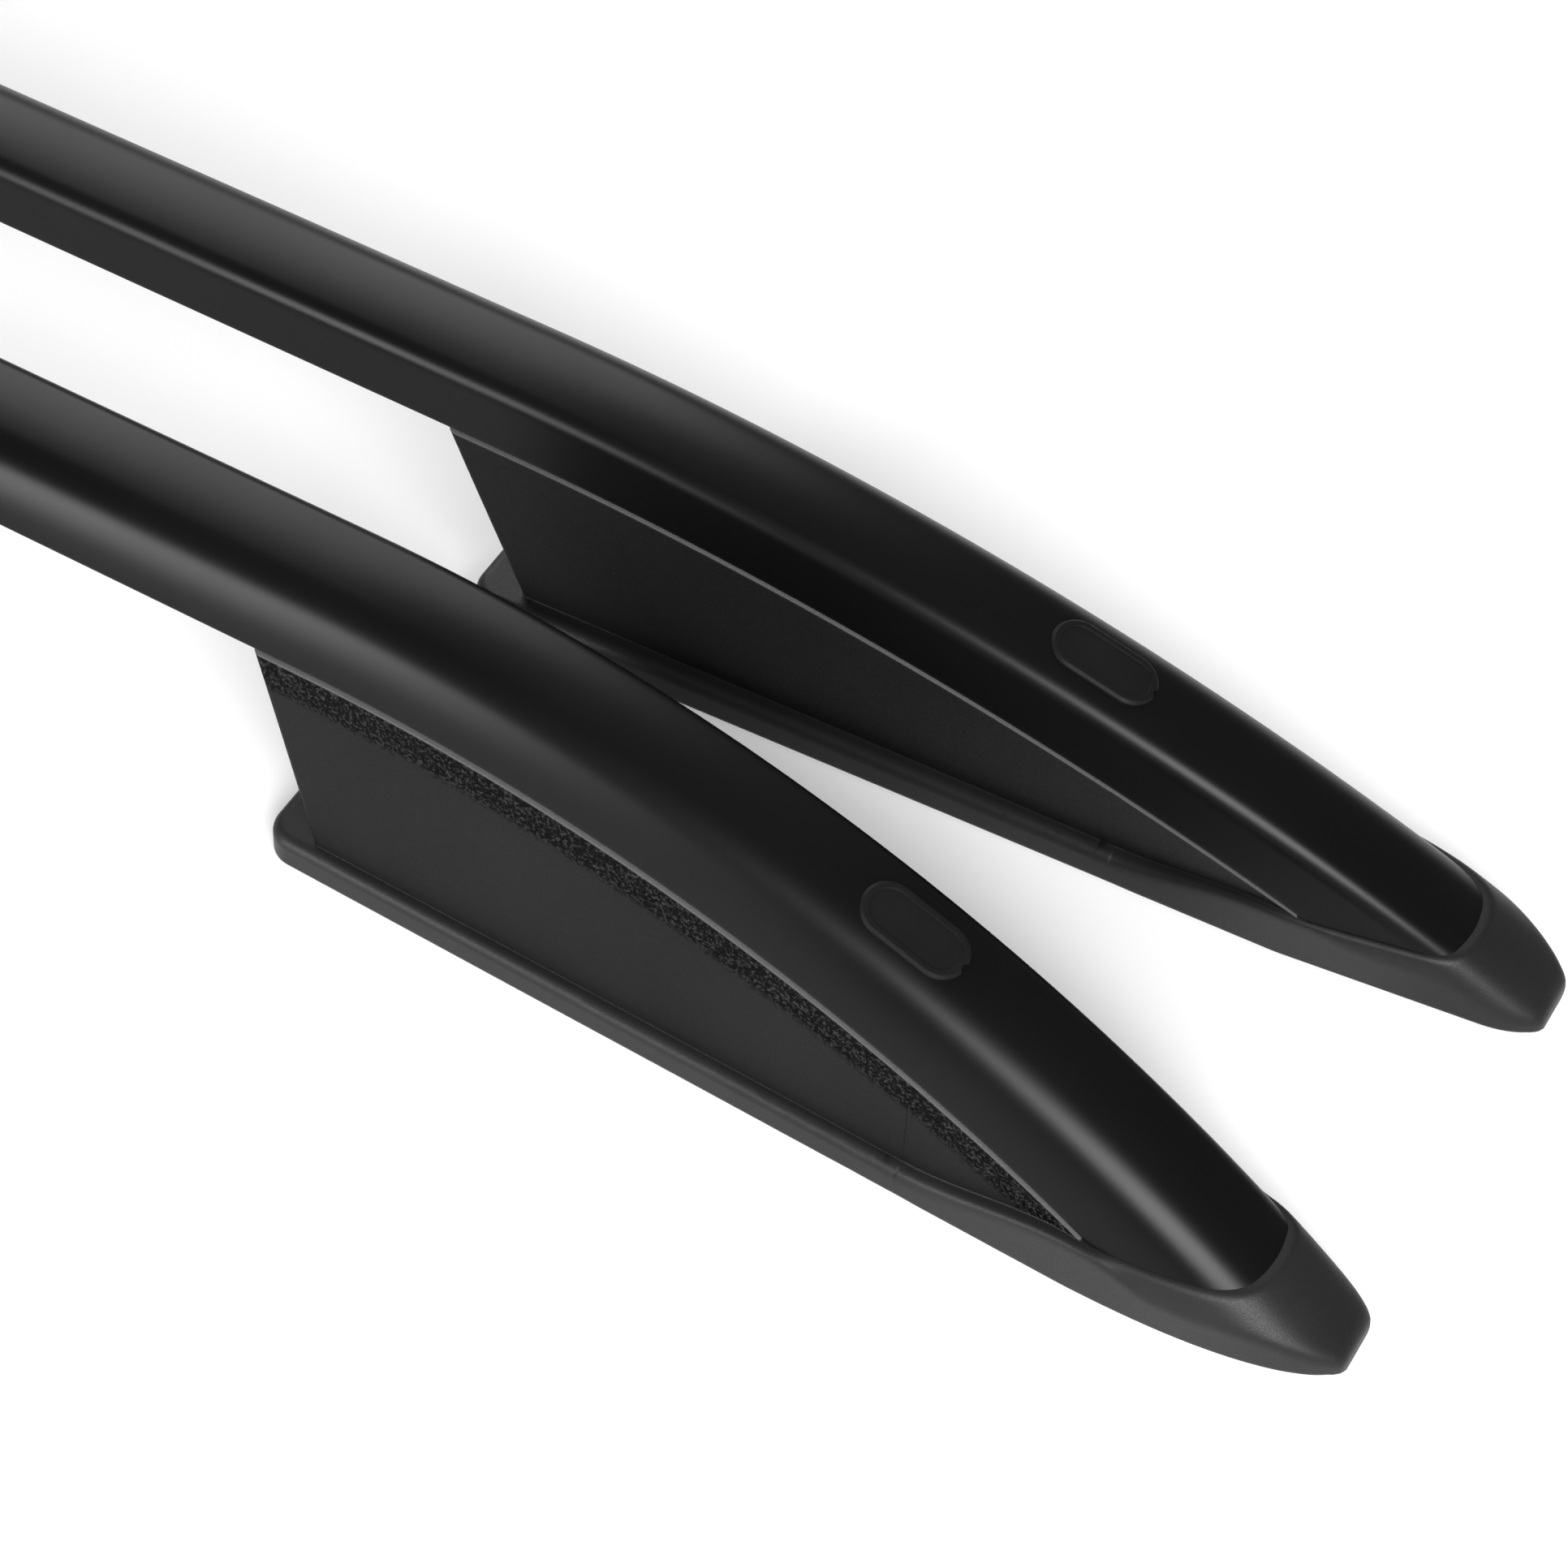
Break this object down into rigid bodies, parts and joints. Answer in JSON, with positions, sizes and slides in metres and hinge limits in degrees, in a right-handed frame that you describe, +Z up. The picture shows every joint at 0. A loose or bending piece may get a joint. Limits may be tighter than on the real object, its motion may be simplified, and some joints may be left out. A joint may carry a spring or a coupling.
{
  "type": "roof side rail pair",
  "caption": "Raised roof side rails, mirrored left and right: bent hollow black rails on moulded feet with beaded bases, nose cups and oblong caps over the bolt holes.",
  "frame": {"origin": "centre of the pair on the roof plane under the feet", "axes": "+X along the rails toward the front noses, +Y toward the left rail, +Z up"},
  "size_m": [1.5, 0.1494, 0.0937],
  "materials": {
    "rail_coat": "satin black powder coat",
    "foot_plastic": "fine grained black moulding",
    "cap_plastic": "smooth black moulding",
    "pad_rubber": "dull black",
    "plated_steel": "zinc plated"
  },
  "bodies": {
    "root": {"rail_left": "rail_coat", "rail_right": "rail_coat", "foot_left_front": "foot_plastic", "cap_left_front": "cap_plastic", "pad_left_front": "pad_rubber", "sleeve_left_front": "plated_steel", "nut_plate_left_front": "plated_steel", "screw_rear_left_front": "plated_steel", "screw_fore_left_front": "plated_steel", "foot_left_rear": "foot_plastic", "cap_left_rear": "cap_plastic", "pad_left_rear": "pad_rubber", "sleeve_left_rear": "plated_steel", "nut_plate_left_rear": "plated_steel", "screw_rear_left_rear": "plated_steel", "screw_fore_left_rear": "plated_steel", "foot_right_front": "foot_plastic", "cap_right_front": "cap_plastic", "pad_right_front": "pad_rubber", "sleeve_right_front": "plated_steel", "nut_plate_right_front": "plated_steel", "screw_rear_right_front": "plated_steel", "screw_fore_right_front": "plated_steel", "foot_right_rear": "foot_plastic", "cap_right_rear": "cap_plastic", "pad_right_rear": "pad_rubber", "sleeve_right_rear": "plated_steel", "nut_plate_right_rear": "plated_steel", "screw_rear_right_rear": "plated_steel", "screw_fore_right_rear": "plated_steel"}
  },
  "joints": []
}
